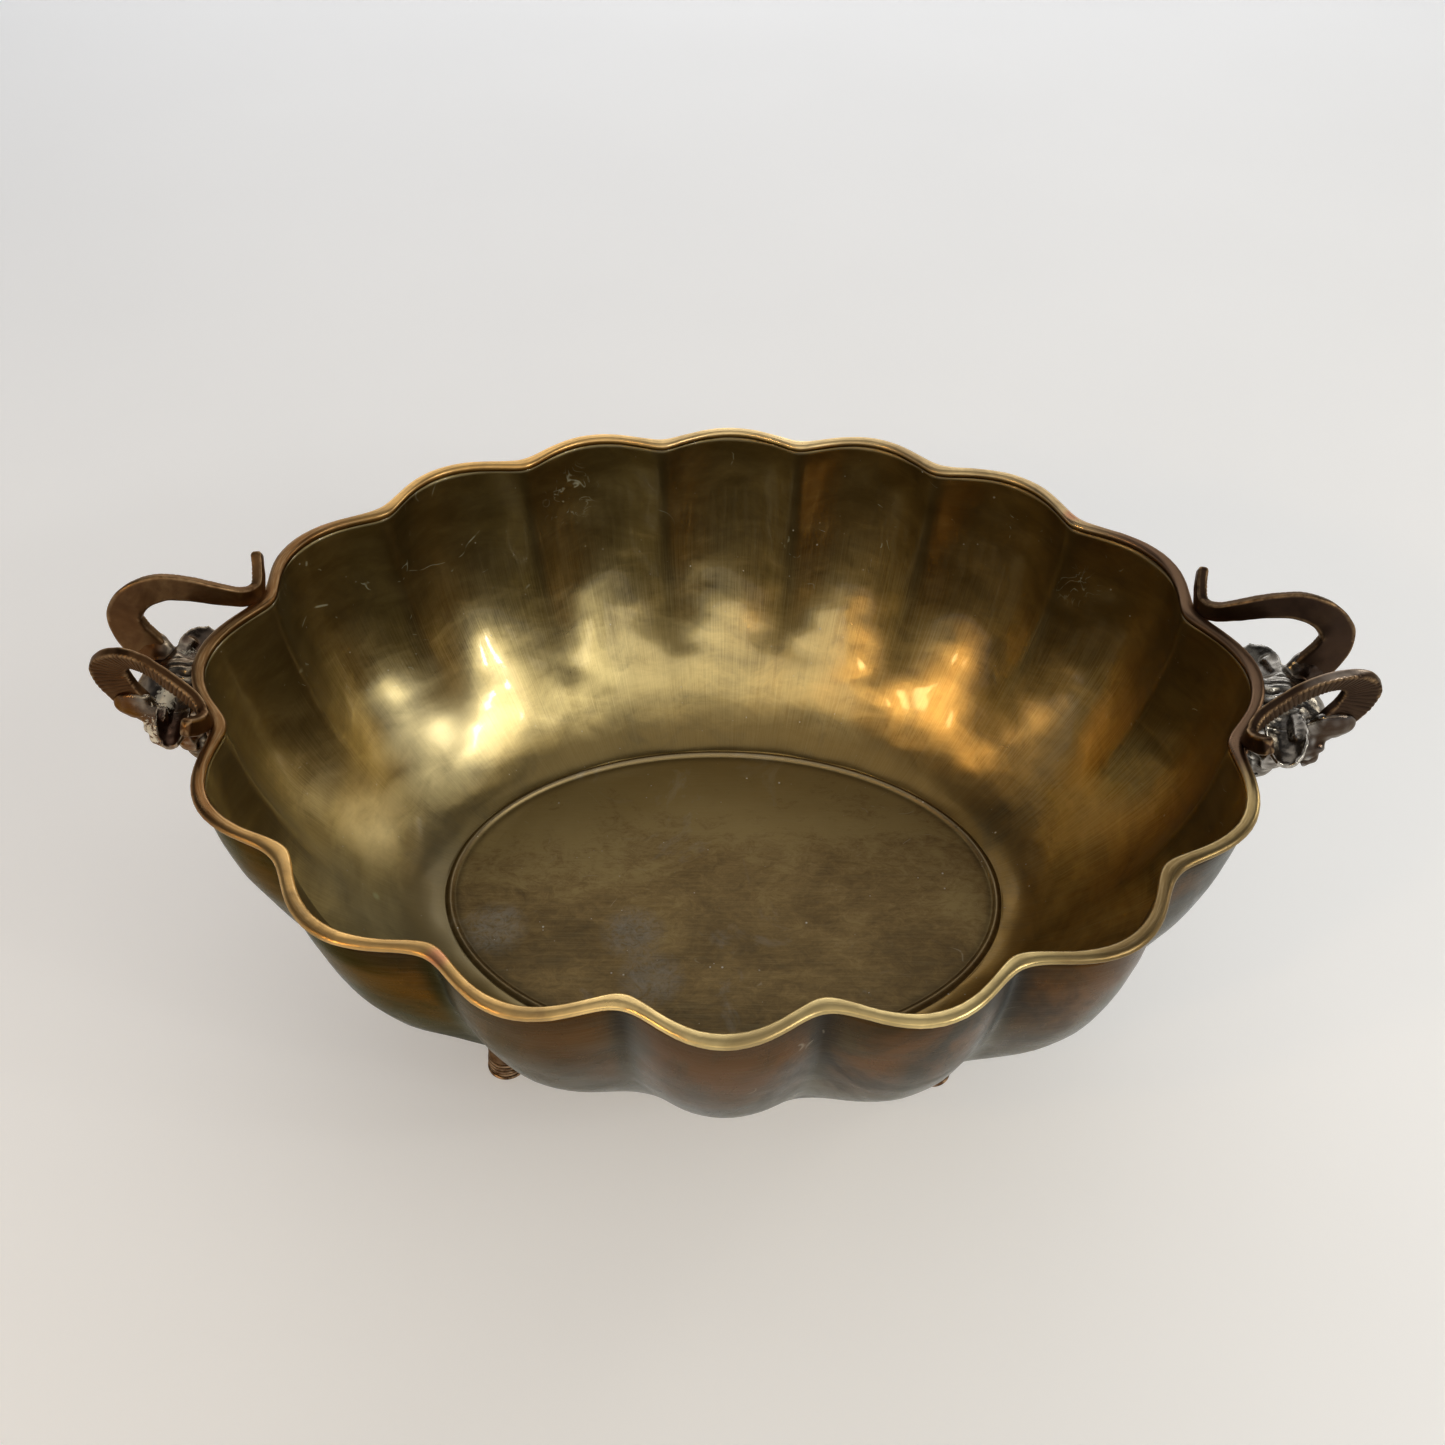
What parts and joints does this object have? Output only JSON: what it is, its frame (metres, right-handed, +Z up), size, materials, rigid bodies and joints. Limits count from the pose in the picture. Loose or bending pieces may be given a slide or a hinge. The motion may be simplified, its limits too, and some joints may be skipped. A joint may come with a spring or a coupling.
{
  "type": "footed oval bowl",
  "caption": "Oval fluted brass bowl on small turned feet, with a rolled lip and a ram's-head handle with curling flat horns at each end.",
  "frame": {"origin": "on the surface that the feet stand on, under the middle of the bowl", "axes": "+X along the long axis towards the right handle, +Y towards the back, +Z up"},
  "size_m": [0.6144, 0.4254, 0.2318],
  "materials": {
    "wall_brass": "aged brass, brushed by hand, cloudy brown patina",
    "floor_brass": "aged brass with straight fine brushing and dark clouds",
    "lip_brass": "rubbed pale brass with coppery patches",
    "cast_head": "dark cast brass, rubbed high points, pale polish left in the recesses",
    "horn_bar": "chocolate brown patina, rubbed edges",
    "turned_foot": "dark turned brass, bright on the ring crests"
  },
  "bodies": {
    "root": {"bowl_shell": "wall_brass", "floor_plate": "floor_brass", "rim_band": "lip_brass", "ram_head_left": "cast_head", "ram_head_right": "cast_head", "horn_left_front": "horn_bar", "horn_left_back": "horn_bar", "horn_right_front": "horn_bar", "horn_right_back": "horn_bar", "foot_front_left": "turned_foot", "foot_front_right": "turned_foot", "foot_back_left": "turned_foot", "foot_back_right": "turned_foot"}
  },
  "joints": []
}
